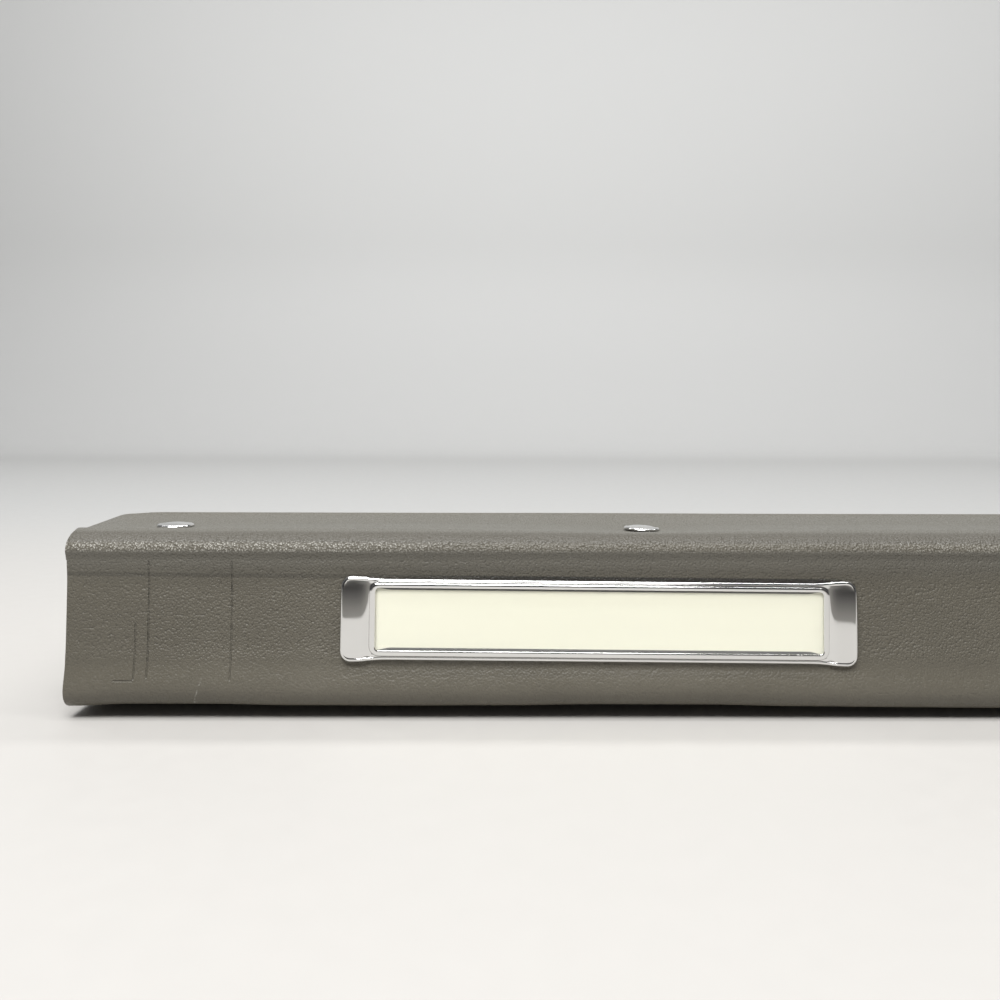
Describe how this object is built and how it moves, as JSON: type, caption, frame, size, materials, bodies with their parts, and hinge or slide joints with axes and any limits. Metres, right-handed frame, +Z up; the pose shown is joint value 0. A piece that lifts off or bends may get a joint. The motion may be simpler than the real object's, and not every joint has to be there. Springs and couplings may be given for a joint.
{
  "type": "ring binder",
  "caption": "Closed A4 ring binder: one-piece grained vinyl cover with folded spine, riveted ring metal inside and a chromed label frame on the spine.",
  "frame": {"origin": "middle of the footprint, on the surface the binder lies on", "axes": "+X along the spine to the right as the spine is looked at, +Y from the spine to the fore edge, +Z up"},
  "size_m": [0.311, 0.245, 0.0508],
  "materials": {
    "vinyl": "grey leather-grained vinyl sheet",
    "chrome": "bright chrome plate",
    "nickel": "nickel-plated steel",
    "ring_wire": "bright nickel-plated wire",
    "label": "blank cream card",
    "film": "clear film"
  },
  "bodies": {
    "lower_cover": {"lower_cover": "vinyl"},
    "spine": {"spine_panel": "vinyl", "label_frame": "chrome", "label_card": "label", "label_film": "film"},
    "upper_cover": {"upper_cover": "vinyl", "ring_housing": "nickel", "rivet_left": "chrome", "rivet_middle": "chrome", "rivet_right": "chrome", "lever_pin_left": "nickel", "lever_pin_right": "nickel"},
    "ring_front": {"blade_front": "nickel", "ring_1_front": "ring_wire", "ring_2_front": "ring_wire", "ring_3_front": "ring_wire", "ring_4_front": "ring_wire"},
    "ring_rear": {"blade_rear": "nickel", "ring_1_rear": "ring_wire", "ring_2_rear": "ring_wire", "ring_3_rear": "ring_wire", "ring_4_rear": "ring_wire"},
    "lever_left": {"lever_left": "nickel"},
    "lever_right": {"lever_right": "nickel"}
  },
  "joints": [
    {"name": "lower_fold", "type": "hinge", "parent": "lower_cover", "child": "spine", "pos_m": [0, -0.12109, 0.00441], "axis": [1, 0, 0], "range_deg": [0, 90]},
    {"name": "upper_fold", "type": "hinge", "parent": "spine", "child": "upper_cover", "pos_m": [0, -0.12005, 0.04631], "axis": [1, 0, 0], "range_deg": [0, 90]},
    {"name": "ring_front_opens", "type": "hinge", "parent": "upper_cover", "child": "ring_front", "pos_m": [0, -0.1098, 0.0436], "axis": [-1, 0, 0], "range_deg": [0, 15]},
    {"name": "ring_rear_opens", "type": "hinge", "parent": "upper_cover", "child": "ring_rear", "pos_m": [0, -0.0902, 0.0436], "axis": [1, 0, 0], "range_deg": [0, 15]},
    {"name": "lever_left_presses", "type": "hinge", "parent": "upper_cover", "child": "lever_left", "pos_m": [-0.1425, -0.1, 0.0425], "axis": [0, 1, 0], "range_deg": [0, 16]},
    {"name": "lever_right_presses", "type": "hinge", "parent": "upper_cover", "child": "lever_right", "pos_m": [0.1425, -0.1, 0.0425], "axis": [0, -1, 0], "range_deg": [0, 16]}
  ],
  "couplings": [
    {"joint": "ring_rear_opens", "follows": "ring_front_opens", "ratio": 1},
    {"joint": "lever_left_presses", "follows": "ring_front_opens", "ratio": 1.0667},
    {"joint": "lever_right_presses", "follows": "ring_front_opens", "ratio": 1.0667}
  ]
}
